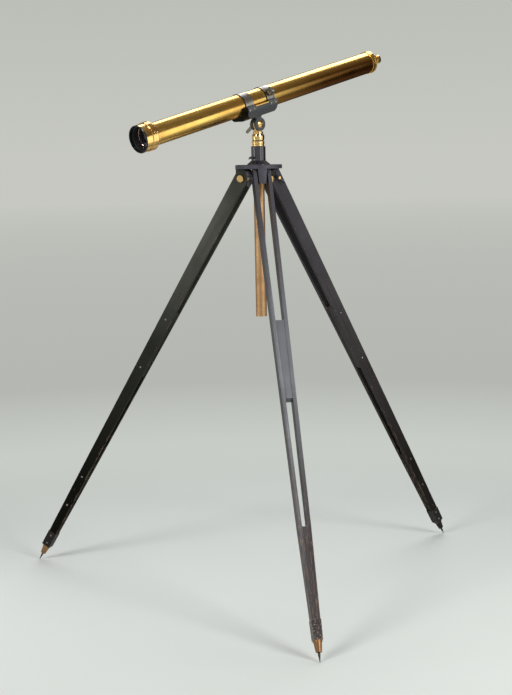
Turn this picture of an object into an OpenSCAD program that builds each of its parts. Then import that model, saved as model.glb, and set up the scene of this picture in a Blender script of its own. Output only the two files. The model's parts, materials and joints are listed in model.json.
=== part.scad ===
// Brass refracting telescope on a black wooden tripod.
// +Z is up and the front leg points along -Y. The origin lies on the floor under the middle of
// the three feet's box, so the tripod's own axis stands a quarter of the foot radius behind it.

/* [Aim] */
// Direction of the eyepiece end, turned from +X towards +Y
aim_az = 32.8; // [0:1:360]
// Rise of the eyepiece end above the horizontal
aim_el = 14.2; // [-20:0.1:25]

/* [Tripod legs] */
// Length of a leg from its hinge to the point of its spike
leg_len = 1662; // [1400:1:1800]
// Angle of a spread leg from the vertical
splay = 31.2; // [24:0.1:34]
// Distance of the leg hinges from the tripod's axis
hinge_r = 55; // [52:1:60]
// Thickness of a leg rail at its top
rail_t = 12; // [9:0.5:14]
// Depth of a leg rail at its hinge
rail_depth_top = 50; // [44:1:56]
// Depth of a leg at the shoe
rail_depth_foot = 30; // [26:1:34]
// Half of the gap between the rails at the hinge
rail_gap_top = 18.6; // [16:0.2:22]
// Half of the gap between the rails at the foot block
rail_gap_low = 8.5; // [7:0.5:11]
// Half of the leg's width where it enters the ferrule
foot_half_w = 13; // [11.5:0.5:15]
// Length of the parallel stretch of the rails below the hinge
rail_parallel = 45; // [30:1:60]
// Distance of the middle block's top from the hinge
mid_block_from = 545; // [450:5:600]
// Length of the middle block
mid_block_len = 275; // [150:5:300]
// Length of the foot block above the wood's end
foot_block_len = 350; // [260:5:450]
// Depth by which the blocks lie back from the rails' faces
block_recess = 1.5; // [0.5:0.1:3]

/* [Leg feet] */
// Distance of the spike's point from the end of the wood
foot_len = 67; // [55:1:80]
// Length of the metal shoe round the wood's end
shoe_len = 60; // [30:1:90]
// Gap between the shoe and the wood
shoe_gap = 0.2; // [0.1:0.05:0.4]
// Wall of the shoe
shoe_wall = 1.5; // [1:0.1:2.5]
// Thickness of the shoe's end plate
shoe_end_t = 1.8; // [1:0.1:3]
// Radius of the wooden tenon in the ferrule
tenon_r = 8.6; // [7:0.1:9]
// Length of the tenon
tenon_len = 17; // [10:0.5:20]
// Radius of the ferrule's upper rim
ferrule_r = 14; // [13:0.5:16]
// Height by which that rim stands out
ferrule_rim = 1.1; // [0.5:0.1:2]
// Radius of the ferrule's lower end
ferrule_end_r = 9.5; // [8.5:0.5:11]
// Length of the ferrule
ferrule_len = 36; // [30:1:40]
// Radius of the spike
spike_r = 4; // [3:0.1:5]
// Length of the spike's point
spike_point = 22; // [15:1:26]
// Radius at the very tip of the spike
tip_r = 1.2; // [0.8:0.1:2]

/* [Leg hardware] */
// Radius of the leg bolts
leg_bolt_r = 5; // [4:0.25:6]
// Width across the flats of the bolt heads
hex_flats = 24; // [18:0.5:26]
// Height of the bolt heads
hex_h = 9; // [6:0.5:11]
// Radius of the wing nuts' base
nut_base_r = 9; // [8:0.5:11]
// Height of the wing nuts' hub
nut_hub_h = 14; // [10:0.5:16]
// Reach of a wing from the bolt's axis to the centre of its rounded end
wing_reach = 23; // [15:0.5:24]
// Radius of a wing's rounded end
wing_end_r = 6; // [4:0.5:7]
// Thickness of the wings
wing_t = 3.2; // [2:0.2:4]
// Radius of the small screws in the legs
leg_screw_r = 2; // [1.5:0.1:2.5]
// Radius of the small screws' heads
leg_screw_head_r = 4; // [3.5:0.1:5]
// Height of those heads
leg_screw_head_h = 1.8; // [1.2:0.1:3]

/* [Tripod head] */
// Radius of the head plate
plate_r = 81; // [76:1:90]
// Thickness of the head plate
plate_t = 14; // [10:0.5:18]
// Height of the plate's underside above the leg hinges
plate_over_hinge = 32.8; // [30:0.2:36]
// Width of a lug where it leaves the plate
lug_w_top = 31; // [28:0.5:34]
// Width of a lug at its lower end
lug_w_low = 24; // [20:0.5:26]
// Depth of the lugs below the hinge
lug_below_hinge = 17.6; // [14:0.2:22]
// Distance of the lugs' inner faces from the tripod's axis
lug_inner_r = 36; // [32:1:42]
// Radius of the boss round the bolt in each lug
lug_boss_r = 11; // [9:0.5:13]

/* [Pillar socket] */
// Outer radius of the socket
socket_r = 25; // [23.5:0.5:30]
// Height of the socket above the plate
socket_h = 63; // [50:0.5:80]
// Radius of the flange at the foot of the socket
flange_r = 40; // [36:1:46]
// Height of the flange's cone
flange_h = 14; // [10:0.5:18]
// Distance of the flange screws from the axis
flange_screw_at = 33; // [30:0.5:35]
// Radius of the flange screws
flange_screw_r = 2.5; // [2:0.1:3]
// Depth of the flange screws in the flange
flange_screw_in = 4; // [2.5:0.5:4.5]
// Height of the clamp screw above the plate
clamp_h = 24; // [20:0.5:40]
// Direction of the clamp screw, turned from +X towards +Y
clamp_az = 215; // [175:1:235]
// Radius of the clamp screw
clamp_r = 3; // [2.5:0.1:4]
// Distance of the clamp screw's cross bar from the socket
clamp_out = 13; // [11:0.5:20]
// Radius of the screw's head, which holds the bar
clamp_head_r = 4; // [3.6:0.1:5]
// Length of the cross bar
clamp_bar_len = 16; // [12:0.5:20]
// Radius of the cross bar
clamp_bar_r = 1.7; // [1.2:0.1:2.4]
// Turn of the cross bar about the screw
clamp_bar_turn = 26; // [-90:1:90]

/* [Pillar] */
// Outer radius of the pillar
pillar_r = 19; // [17:0.5:20.5]
// Wall of the pillar
pillar_wall = 2; // [1.5:0.1:4]
// Length of the pillar below the socket's top
pillar_len = 589; // [300:1:620]
// Height of the collar that rests on the socket
collar_h = 17.5; // [15:0.5:24]
// Radius of the collar
collar_r = 21.8; // [21.6:0.1:24]
// Thickness of the collar's web
collar_web = 8; // [5:0.5:10]
// Radius of the spindle that the head turns on
spindle_r = 8; // [6:0.5:10]
// Height of the dark groove between the collar and the turning head
groove_h = 2.6; // [2:0.1:4]

/* [Azimuth head] */
// Height of the turning ring
ring_h = 20; // [18:0.5:26]
// Radius of the turning ring at its widest
ring_r = 22; // [21:0.5:24]
// Radius of the ring's bulging profile
ring_bulge = 34; // [24:1:60]
// Metal left above the spindle's end
ring_roof = 3; // [2:0.5:5]
// Radius of the screw that keeps the head on its spindle
keeper_r = 2; // [1.5:0.1:2.5]
// Depth of the spindle's groove for that screw
keeper_groove = 1.5; // [1:0.1:2]
// Height of the tilt pivot above the turning ring
pivot_over_ring = 34.9; // [34.4:0.1:42]
// Height of the hollow moulding above the turning ring
neck_cove_h = 3.5; // [2:0.1:4.5]
// Radius at the bottom of that moulding
neck_cove_r = 16; // [13:0.1:17]
// Height of the bead above it
neck_bead_h = 6; // [3:0.2:6.6]
// Radius of the bead
neck_bead_r = 18.3; // [17:0.1:20]
// Thickness of the tongue
tongue_t = 10.6; // [8:0.2:14]
// Radius of the tongue's eye
tongue_r = 20; // [16:0.5:22]
// Width of the tongue's neck
tongue_neck = 26; // [20:1:32]

/* [Tilt joint] */
// Radius of the pivot bolt
pivot_r = 6; // [4:0.25:7]
// Thickness of each ear of the cradle
ear_t = 8.2; // [6:0.2:11]
// Radius of the ears
ear_r = 23; // [20:0.5:24]
// Width of the ears' neck under the cradle
ear_neck = 22; // [18:0.5:28]
// Radius of the fillets between the ears and the cradle
ear_fillet = 8; // [4:0.5:9]
// Radius of the pivot bolt's round head
pivot_head_r = 13; // [9:0.5:14]
// Thickness of that head
pivot_head_h = 4.5; // [3:0.5:7]
// Height of the clamp nut's hub
tilt_hub_h = 18; // [14:0.5:22]
// Radius of the clamp nut's base
tilt_hub_r = 11; // [9.5:0.5:13]
// Reach of the clamp's wings to the centre of their rounded ends
tilt_wing_reach = 28; // [24:0.5:31]
// Radius of those rounded ends
tilt_wing_end_r = 7.5; // [6:0.5:9]
// Gap between those ends and the cradle as they turn
tilt_wing_clear = 1; // [0.5:0.1:2]
// Thickness of the wings
tilt_wing_t = 4; // [3:0.2:6]
// Turn of the clamp's wings about the pivot bolt
tilt_wing_turn = -45; // [-90:5:90]

/* [Cradle] */
// Height of the tube's axis above the tilt pivot
tube_rise = 81; // [79:0.5:90]
// Start of the cradle, along the tube from the pivot towards the eyepiece
cradle_from = -84; // [-110:1:-75]
// End of the cradle, along the tube from the pivot
cradle_to = 69; // [65:1:110]
// Outer radius of the cradle's trough
trough_r = 50; // [48:0.5:54]
// Depth of the trough's centre below the tube's axis
trough_drop = 7; // [5:0.5:9]
// Depth of the cradle's flat underside below the tube's axis
trough_bottom = 52; // [50:0.5:53]
// Depth of the cradle's rim below the tube's axis
trough_rim = 12.5; // [8:0.5:18]
// Half of the cradle's width between its flat sides
cradle_half_w = 48; // [46:0.5:49]
// Thickness of the brass liner
liner_t = 2.5; // [1.5:0.1:3]

/* [Straps] */
// Width of the straps
strap_w = 38; // [30:1:44]
// Thickness of the straps
strap_t = 2; // [1.2:0.1:3]
// Middle of the front strap, along the tube from the pivot
strap_front_at = -53; // [-58:1:-50]
// Middle of the rear strap, along the tube from the pivot
strap_rear_at = 48; // [40:1:50]
// Length of the straps' feet down the cradle's sides
strap_foot = 15; // [12:0.5:18]
// Distance between the two screws in a strap's foot
strap_screw_pitch = 22; // [16:1:26]
// Radius of the strap screws
strap_screw_r = 2; // [1.5:0.1:2.5]
// Angle of the clamp screw on the rear strap above the horizontal
thumb_angle = 25; // [20:1:60]
// Radius of that screw's round head
thumb_head_r = 14; // [11:0.5:15]
// Height of that head
thumb_head_h = 9; // [6:0.5:12]
// Radius of that screw's stem
thumb_r = 4; // [3:0.25:5]

/* [Tube] */
// Outer radius of the main tube
tube_r = 38.1; // [36:0.1:38.5]
// Wall of the main tube
tube_wall = 1.6; // [1.2:0.1:2.5]
// Front end of the main tube, along the tube from the pivot
tube_from = -476; // [-530:1:-400]
// Rear end of the main tube, along the tube from the pivot
tube_to = 598; // [520:1:620]
// Thickness of the blackened stops inside the tube
baffle_t = 1.2; // [0.8:0.1:2]

/* [Objective] */
// Outer radius of the barrel in front of the lens
barrel_r = 46; // [45:0.5:47]
// Length of that barrel
barrel_len = 26; // [20:1:34]
// Wall of that barrel
barrel_wall = 3; // [2:0.2:4]
// Distance from the cell's groove behind the barrel to the tube's front end
cell_front = 17; // [14.5:0.5:24]
// Outer radius of the cell's flange
cell_r = 48; // [47.5:0.5:50]
// Width of the groove between the barrel and the flange
cell_groove = 2; // [1:0.2:3]
// Length of the flange
flange_len = 21; // [16:0.5:23]
// Length of the cone behind the flange
cone_len = 7; // [4:0.5:9]
// Length of the cell's skirt behind the tube's front end
cell_skirt = 20; // [18:0.5:30]
// Outer radius of the skirt
skirt_r = 41; // [40.6:0.1:43]
// Clear radius through the cell
aperture_r = 35; // [30:0.5:35.5]
// Radius of the lenses
lens_r = 37.5; // [36.5:0.5:39]
// Radius of the lenses' outer curves
lens_curve_r = 640; // [400:10:900]
// Edge thickness of the crown lens
crown_edge = 4; // [3:0.5:5]
// Edge thickness of the flint lens
flint_edge = 5; // [4.5:0.5:6]
// Depth of the recess in front of the black ring
ring_recess = 12; // [6:0.5:16]
// Inner radius of the black ring's front edge
front_ring_in = 38.5; // [37:0.5:40.5]

/* [Tail] */
// Length of the tail cap's collar over the tube
tail_collar = 19; // [12:1:30]
// Wall of that collar
tail_wall = 2; // [1.5:0.1:3]
// Length of the cap behind the tube
tail_end = 8.5; // [7:0.5:14]
// Length of the guide sleeve inside the tube
sleeve_len = 84; // [60:1:120]
// Outer radius of the draw tube
draw_r = 13.2; // [11:0.2:14]
// Wall of the draw tube
draw_wall = 1.2; // [0.8:0.1:1.6]
// Wall of the guide sleeve
sleeve_wall = 2.5; // [1.5:0.1:3]
// Length of the draw tube inside the telescope when it is pushed in
draw_len = 226; // [170:1:300]

/* [Eyepiece] */
// Length of the eyepiece behind the tail
eyepiece_len = 42; // [34:1:60]
// Radius of the eyepiece's knurled flange
eyepiece_flange_r = 14.6; // [14:0.1:16]
// Radius of the eyepiece's barrel
eyepiece_r = 12.5; // [12:0.1:14]
// Radius of the eyepiece's cap
eye_cap_r = 15.5; // [15:0.1:17]
// Length of that cap
eye_cap_len = 9; // [6:0.5:12]
// Radius of the eye hole
eye_hole_r = 4; // [2.5:0.5:6]
// Length of the eyepiece's spigot in the draw tube
spigot = 26; // [15:1:40]
// Length of the knurled grip in front of the cap
grip_len = 6; // [4:0.5:10]
// Number of grooves round each knurled grip
knurls = 28; // [20:1:40]

/* [Clearances] */
// Gap between faces that move past each other
slide_gap = 0.3; // [0.25:0.05:0.5]
// Gap round a shaft that turns or slides in its bore
run_gap = 0.08; // [0.05:0.01:0.1]
// Gap round a piece that is seated for good
seat_gap = 0.05; // [0.02:0.01:0.1]

/* [Hidden] */
$fn = 96;
big = 400;
sink = 1;
edge = 0.6;
score = 0.8;

LEGS = ["front", "right", "left"];
NUT_TURNS = [20, 50, 35];
LEG_PARTS = ["left_rail", "right_rail", "mid_block", "foot_block", "shoe", "ferrule", "spike",
    "screws"];
MAIN_NODES = ["tripod_head", "socket", "flange_screws", "leg_bolts", "pillar_clamp_screw",
    "pillar_tube", "pillar_collar", "pillar_cap", "spindle", "thrust_washer", "azimuth_head",
    "azimuth_keeper", "cradle", "cradle_liner", "strap_front", "strap_rear", "strap_screws",
    "pivot_bolt", "tilt_wing_nut", "strap_thumbscrew", "main_tube", "objective_cell",
    "front_ring", "crown_lens", "flint_lens", "tube_baffles", "tail_cap", "draw_sleeve",
    "draw_tube", "eyepiece_body", "field_lens", "eye_lens", "eye_cap"];

BRASS = [0.80, 0.60, 0.28];
DULL_BRASS = [0.60, 0.46, 0.30];
COPPER = [0.66, 0.40, 0.24];
BLACK_WOOD = [0.20, 0.20, 0.22];
BLACK_IRON = [0.15, 0.15, 0.17];
NICKEL = [0.66, 0.66, 0.68];
IRON = [0.32, 0.30, 0.29];
GLASS = [0.55, 0.62, 0.70, 0.4];

// Tripod, worked out from the driving sizes
hinge_z = leg_len * cos(splay) + tip_r;
foot_r = hinge_r + leg_len * sin(splay);
mast_y = foot_r * (1 - cos(60)) / 2;
plate_z = hinge_z + plate_over_hinge;
stop_h = plate_over_hinge - slide_gap;
wood_end = leg_len - foot_len;
foot_block_from = wood_end - foot_block_len;
ferrule_from = wood_end + shoe_gap + shoe_end_t;
rail_out_t = rail_gap_top + rail_t;
rail_slope = (rail_gap_top - rail_gap_low) / (foot_block_from - rail_parallel);
rail_top = 40;

// Half of the gap between the rails at a distance from the hinge
function gap_at(l) = rail_gap_top - max(0, l - rail_parallel) * rail_slope;
// Half of the leg's width at a distance from the hinge
function half_w_at(l) = l < foot_block_from
    ? gap_at(l) + rail_t
    : gap_at(foot_block_from) + rail_t
        + (l - foot_block_from) / (wood_end - foot_block_from)
            * (foot_half_w - gap_at(foot_block_from) - rail_t);
// Half of the leg's depth at a distance from the hinge
function half_d_at(l) = (rail_depth_top
    + max(0, l) / wood_end * (rail_depth_foot - rail_depth_top)) / 2;

// Mast heights
socket_z = plate_z + plate_t;
socket_top = socket_z + socket_h;
collar_z = socket_top + slide_gap;
collar_top = collar_z + collar_h;
ring_z = collar_top + groove_h;
ring_top = ring_z + ring_h;
pivot_z = ring_top + pivot_over_ring;
pillar_z = socket_top - pillar_len;
spindle_top = ring_top - ring_roof;
keeper_z = ring_z + ring_h / 2;

// Widths across the tilt joint and the leg hinges
ear_in = tongue_t / 2 + slide_gap;
ear_out = ear_in + ear_t;
hinge_face = rail_out_t + slide_gap;

// Tube and cradle
tube_bore = tube_r - tube_wall;
liner_in = tube_r + 0.2;
liner_out = liner_in + liner_t;
rim_y = tube_rise - trough_rim;
tail_z = tube_to + tail_end;
eyepiece_z = tail_z + slide_gap;
eyepiece_end = eyepiece_z + eyepiece_len;
cell_z = tube_from - cell_front;
barrel_z = cell_z - barrel_len;
flange_z = cell_z + cell_groove;
flange_mid = flange_z + flange_len / 2;
cone_z = flange_z + flange_len;
cone_end = cone_z + cone_len;
skirt_end = tube_from + cell_skirt;
lens_seat = tube_from - 3;
crown_z = lens_seat - flint_edge - crown_edge;
ring_seat = crown_z - 2;
thumb_seat = tube_r + 6.5;
eye_cap_z = eyepiece_end - eye_cap_len;
grip_z = eye_cap_z - grip_len;

// Height of the clamp wings' ends over the nut's base, at which they turn clear of the trough
wing_lobe = trough_r + tilt_wing_end_r + tilt_wing_clear;
wing_drop = tube_rise - trough_drop - tilt_wing_reach;
tilt_wing_rise = sqrt(wing_lobe * wing_lobe - wing_drop * wing_drop) - ear_out - slide_gap;

module on_mast() {
    translate([0, mast_y, 0]) children();
}

// A leg's hinge, with the bolt along X, the outside of the tripod at -Y and no splay
module on_hinge(i) {
    on_mast() rotate([0, 0, 120 * i]) translate([0, -hinge_r, hinge_z]) children();
}

// A spread leg, which runs from its hinge down -Z
module on_leg(i) {
    on_hinge(i) rotate([-splay, 0, 0]) children();
}

// The tilt pivot, with X along the aim and the pivot bolt along Y
module on_pivot() {
    on_mast() translate([0, 0, pivot_z]) rotate([0, 0, aim_az]) children();
}

// The cradle, with Z along the tube, Y up and the pivot bolt along X
module on_cradle() {
    on_pivot() rotate([0, 90 - aim_el, 0]) rotate([0, 0, 90]) children();
}

module on_tube() {
    on_cradle() translate([0, tube_rise, 0]) children();
}

// Outline in Y and Z, drawn out along X from x0 to x1
module along_x(x0, x1) {
    translate([x0, 0, 0]) rotate([90, 0, 90]) linear_extrude(x1 - x0) children();
}

// Outline in X and Z, drawn out along Y from y0 to y1
module along_y(y0, y1) {
    translate([0, y1, 0]) rotate([90, 0, 0]) linear_extrude(y1 - y0) children();
}

module rod_x(r, x0, x1) {
    translate([x0, 0, 0]) rotate([0, 90, 0]) cylinder(r = r, h = x1 - x0);
}

module rod_z(r, z0, z1) {
    translate([0, 0, z0]) cylinder(r = r, h = z1 - z0);
}

module sleeve_z(r_out, r_in, z0, z1) {
    difference() {
        rod_z(r_out, z0, z1);
        rod_z(r_in, z0 - sink, z1 + sink);
    }
}

// Round head with a driver's slot, seated at z 0 and facing +Z
module slotted_head(r, h) {
    difference() {
        intersection() {
            cylinder(r = r, h = h);
            translate([0, 0, h - 1.6 * r]) sphere(r = 1.6 * r);
        }
        translate([-2 * r, -r / 8, h - r / 4]) cube([4 * r, r / 4, h]);
    }
}

// Wing nut with its base at z 0, its hub up Z and its wings in the XZ plane
module wing_nut(base_r, hub_h, reach, end_r, end_z, thick, bore_r) {
    difference() {
        union() {
            cylinder(r1 = base_r, r2 = base_r * 0.72, h = hub_h);
            along_y(-thick / 2, thick / 2) for (side = [-1, 1]) {
                polygon([[0, 1.5], [side * base_r, 1.5], [side * (reach + end_r * 0.6),
                    end_z - end_r * 0.8], [side * (reach - end_r * 0.6), end_z + end_r * 0.8],
                    [side * base_r * 0.6, hub_h], [0, hub_h]]);
                translate([side * reach, end_z]) circle(r = end_r);
            }
        }
        rod_z(bore_r, -sink, hub_h + end_z + end_r);
    }
}

// Leg outline seen along the bolt, from one distance below the hinge to another
module leg_side(l0, l1, grow) {
    polygon([[-half_d_at(l0) - grow, -l0], [-half_d_at(l1) - grow, -l1],
        [half_d_at(l1) + grow, -l1], [half_d_at(l0) + grow, -l0]]);
}

// Leg outline seen from the front
module leg_front(l0, l1, grow) {
    polygon([[-half_w_at(l0) - grow, -l0], [-half_w_at(l1) - grow, -l1],
        [half_w_at(l1) + grow, -l1], [half_w_at(l0) + grow, -l0]]);
}

module leg_wedge(l0, l1, grow) {
    intersection() {
        along_x(-big, big) leg_side(l0, l1, grow);
        along_y(-big, big) leg_front(l0, l1, grow);
    }
}

// Top of a rail: round behind the hinge, and cut square in front so that it meets the plate
module rail_head_limit() {
    rod_x(stop_h, -big, big);
    rotate([splay, 0, 0]) translate([-big, -2 * stop_h, -2 * stop_h])
        cube([2 * big, 2 * stop_h, 3 * stop_h]);
    translate([-big, -rail_depth_top, -leg_len]) cube([2 * big, 2 * rail_depth_top, leg_len]);
}

// Distances below the hinge at which screws go through the rails into the blocks
mid_screws = [mid_block_from + 35, mid_block_from + mid_block_len - 35];
foot_screws = [foot_block_from + 30, foot_block_from + 160];
shoe_screws = [wood_end - shoe_len + 14, wood_end - 12];
// Distance of a screw's tip from the leg's middle plane
function screw_tip(l) = l > wood_end - shoe_len ? gap_at(l) + 1.5 : 0.4 * gap_at(l);

module leg_screw_holes() {
    for (side = [-1, 1], l = concat(mid_screws, foot_screws, shoe_screws))
        translate([0, 0, -l]) rotate([0, side * 90, 0])
            rod_z(leg_screw_r + seat_gap, screw_tip(l) - seat_gap, 2 * rail_out_t);
}

module leg_rail(side) {
    color(BLACK_WOOD) difference() {
        intersection() {
            along_x(-big, big) polygon([[-half_d_at(0), rail_top],
                [-half_d_at(0), 0], [-half_d_at(wood_end), -wood_end],
                [half_d_at(wood_end), -wood_end], [half_d_at(0), 0], [half_d_at(0), rail_top]]);
            along_y(-big, big) polygon([for (p = [
                [gap_at(0), rail_top], [gap_at(0), -rail_parallel],
                [gap_at(wood_end), -wood_end], [foot_half_w, -wood_end],
                [half_w_at(foot_block_from), -foot_block_from],
                [rail_out_t, -rail_parallel], [rail_out_t, rail_top]]) [side * p[0], p[1]]]);
            rail_head_limit();
        }
        rod_x(leg_bolt_r + run_gap, -big, big);
        leg_screw_holes();
    }
}

// Block between the rails, from one distance below the hinge to another
module leg_spacer(l0, l1) {
    intersection() {
        along_x(-big, big) leg_side(l0, l1, -block_recess);
        along_y(-big, big) polygon([[-gap_at(l0), -l0], [-gap_at(l1), -l1],
            [gap_at(l1), -l1], [gap_at(l0), -l0]]);
    }
}

module leg_mid_block() {
    color(BLACK_WOOD) difference() {
        leg_spacer(mid_block_from, mid_block_from + mid_block_len);
        leg_screw_holes();
    }
}

module leg_foot_block() {
    color(BLACK_WOOD) difference() {
        union() {
            leg_spacer(foot_block_from, wood_end);
            rod_z(tenon_r, -wood_end - tenon_len, -wood_end);
            rod_z(gap_at(wood_end) - seat_gap, -wood_end - sink, -wood_end + sink);
        }
        leg_screw_holes();
    }
}

module leg_shoe() {
    color(BLACK_IRON) difference() {
        leg_wedge(wood_end - shoe_len, ferrule_from, shoe_gap + shoe_wall);
        leg_wedge(wood_end - shoe_len - sink, wood_end + shoe_gap, shoe_gap);
        rod_z(tenon_r + seat_gap, -leg_len, -wood_end + sink);
        leg_screw_holes();
    }
}

module leg_ferrule() {
    color(COPPER) difference() {
        union() {
            translate([0, 0, -ferrule_from - ferrule_len])
                cylinder(r1 = ferrule_end_r, r2 = ferrule_r, h = ferrule_len);
            rod_z(ferrule_r + ferrule_rim, -ferrule_from - 5, -ferrule_from);
        }
        rod_z(tenon_r + seat_gap, -wood_end - tenon_len - slide_gap, -wood_end + sink);
        rod_z(spike_r + seat_gap, -leg_len, -wood_end);
    }
}

module leg_spike() {
    color(IRON) {
        rod_z(spike_r, -leg_len + spike_point, -wood_end - tenon_len - 2 * slide_gap);
        translate([0, 0, -leg_len]) cylinder(r1 = tip_r, r2 = spike_r, h = spike_point);
        translate([0, 0, -leg_len]) sphere(r = tip_r);
    }
}

module leg_screws() {
    color(NICKEL) for (side = [-1, 1], l = concat(mid_screws, foot_screws, shoe_screws)) {
        seat = half_w_at(l) + shoe_gap + (l > wood_end - shoe_len ? shoe_wall + shoe_gap : 0);
        translate([0, 0, -l]) rotate([0, side * 90, 0]) {
            translate([0, 0, seat]) slotted_head(leg_screw_head_r, leg_screw_head_h);
            rod_z(leg_screw_r, screw_tip(l), seat + leg_screw_head_h / 4);
        }
    }
}

module leg_wing_nut(i) {
    color(BLACK_IRON) on_hinge(i) translate([-hinge_face, 0, 0]) rotate([0, -90, 0])
        rotate([0, 0, NUT_TURNS[i]])
            wing_nut(nut_base_r, nut_hub_h, wing_reach, wing_end_r, nut_hub_h + 2, wing_t,
                leg_bolt_r + run_gap);
}

module leg_bolts() {
    color(BRASS) for (i = [0:2]) on_hinge(i) {
        translate([hinge_face, 0, 0]) rotate([0, 90, 0]) {
            cylinder(r = hex_flats / 2 - 0.5, h = 1);
            translate([0, 0, 1]) intersection() {
                cylinder(r = hex_flats / sqrt(3), h = hex_h - 1, $fn = 6);
                cylinder(r1 = hex_flats * 0.75, r2 = hex_flats * 0.48, h = hex_h - 1);
            }
        }
        rod_x(leg_bolt_r, -hinge_face - nut_hub_h - 3, hinge_face + sink);
    }
}

module head_lug() {
    intersection() {
        union() {
            along_x(-lug_w_top, lug_w_top) difference() {
                translate([-plate_r, -lug_below_hinge])
                    square([plate_r - lug_inner_r, lug_below_hinge + plate_over_hinge + sink]);
                translate([-lug_inner_r - 12, -lug_below_hinge]) difference() {
                    square([12 + sink, 12]);
                    translate([0, 12]) circle(r = 12);
                }
            }
        }
        along_y(-plate_r - sink, 0) polygon([[-lug_w_low / 2, -lug_below_hinge],
            [lug_w_low / 2, -lug_below_hinge], [lug_w_top / 2, plate_over_hinge + sink],
            [-lug_w_top / 2, plate_over_hinge + sink]]);
        rod_z(plate_r, -lug_below_hinge, plate_over_hinge + sink);
    }
}

module tripod_head() {
    color(BLACK_IRON) on_mast() difference() {
        union() {
            translate([0, 0, plate_z]) rotate_extrude() polygon([[0, 0], [plate_r - 0.8, 0],
                [plate_r, 0.8], [plate_r, plate_t - 2], [plate_r - 2, plate_t], [0, plate_t]]);
            for (i = [0:2]) rotate([0, 0, 120 * i]) translate([0, 0, hinge_z]) {
                head_lug();
                translate([0, -hinge_r, 0])
                    rod_x(lug_boss_r, -rail_gap_top + slide_gap, rail_gap_top - slide_gap);
            }
        }
        rod_z(socket_r - 1 + seat_gap, plate_z - sink, socket_z + sink);
        for (i = [0:2]) rotate([0, 0, 120 * i]) {
            translate([0, -hinge_r, hinge_z]) rod_x(leg_bolt_r + seat_gap, -big, big);
            rotate([0, 0, 60]) translate([0, -flange_screw_at, 0])
                rod_z(flange_screw_r + seat_gap, plate_z - sink, socket_z + sink);
        }
    }
}

module socket() {
    color(BLACK_IRON) on_mast() difference() {
        rotate_extrude() polygon([[0, plate_z], [socket_r - 1, plate_z],
            [socket_r - 1, socket_z], [flange_r, socket_z], [flange_r, socket_z + 1.5],
            [socket_r, socket_z + flange_h], [socket_r, socket_top - 1],
            [socket_r - 1, socket_top], [0, socket_top]]);
        rod_z(pillar_r + run_gap, plate_z - sink, socket_top + sink);
        translate([0, 0, socket_z + clamp_h]) rotate([0, 0, clamp_az])
            rod_x(clamp_r + run_gap, 0, big);
        for (i = [0:2]) rotate([0, 0, 120 * i + 60]) translate([0, -flange_screw_at, 0])
            rod_z(flange_screw_r + seat_gap, socket_z - sink, socket_z + flange_screw_in);
    }
}

module flange_screws() {
    color(NICKEL) on_mast() for (i = [0:2])
        rotate([0, 0, 120 * i + 60]) translate([0, -flange_screw_at, plate_z]) {
            rod_z(flange_screw_r, -0.5, plate_t + flange_screw_in - 1);
            rotate([180, 0, 0]) slotted_head(flange_screw_r * 1.8, 3);
        }
}

module pillar_clamp_screw() {
    color(BLACK_IRON) on_mast() translate([0, 0, socket_z + clamp_h])
        rotate([0, 0, clamp_az]) {
            rod_x(clamp_r, pillar_r + slide_gap, socket_r + clamp_out);
            rod_x(clamp_r + 1.8, socket_r + 1, socket_r + 3);
            rod_x(clamp_head_r, socket_r + clamp_out - 4, socket_r + clamp_out + 3);
            translate([socket_r + clamp_out, 0, 0]) rotate([90 + clamp_bar_turn, 0, 0]) {
                rod_z(clamp_bar_r, -clamp_bar_len / 2, clamp_bar_len / 2);
                for (side = [-1, 1]) translate([0, 0, side * clamp_bar_len / 2])
                    sphere(r = clamp_bar_r + 0.6);
            }
        }
}

module pillar_tube() {
    color(DULL_BRASS) on_mast()
        sleeve_z(pillar_r, pillar_r - pillar_wall, pillar_z + 2, collar_top - collar_web - 3);
}

module pillar_cap() {
    color(DULL_BRASS) on_mast() {
        rod_z(pillar_r, pillar_z, pillar_z + 2);
        rod_z(pillar_r - pillar_wall - seat_gap, pillar_z + 1, pillar_z + 12);
    }
}

module pillar_collar() {
    color(BRASS) on_mast() difference() {
        rotate_extrude() polygon([[0, collar_z], [collar_r - 1.2, collar_z],
            [collar_r - 1.2, collar_z + collar_h * 0.35], [collar_r - 0.2, collar_z + collar_h * 0.42],
            [collar_r, collar_z + collar_h * 0.5], [collar_r, collar_top - 1.5],
            [collar_r - 1.5, collar_top], [0, collar_top]]);
        rod_z(pillar_r + seat_gap, collar_z - sink, collar_top - collar_web);
        rod_z(spindle_r + seat_gap, collar_z, collar_top + sink);
    }
}

module spindle() {
    color(IRON) on_mast() difference() {
        union() {
            rod_z(spindle_r, collar_top - collar_web - 1, spindle_top - slide_gap);
            rod_z(pillar_r - pillar_wall - 3, collar_top - collar_web - 4,
                collar_top - collar_web - seat_gap);
        }
        sleeve_z(spindle_r + sink, spindle_r - keeper_groove, keeper_z - keeper_r - slide_gap,
            keeper_z + keeper_r + slide_gap);
    }
}

module thrust_washer() {
    color(BLACK_IRON) on_mast()
        sleeve_z(collar_r - 2.2, spindle_r + run_gap, collar_top, ring_z - slide_gap);
}

// Hollow moulding with a bead above it, in radius and height
module neck_section() {
    cove = neck_cove_h / 2;
    round_r = neck_bead_h / 2;
    difference() {
        square([neck_cove_r + cove, neck_cove_h]);
        translate([neck_cove_r + cove, cove]) circle(r = cove);
    }
    translate([0, neck_cove_h]) {
        square([neck_bead_r, round_r]);
        square([neck_bead_r - round_r, neck_bead_h]);
        translate([neck_bead_r - round_r, round_r]) circle(r = round_r);
    }
}

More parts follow.
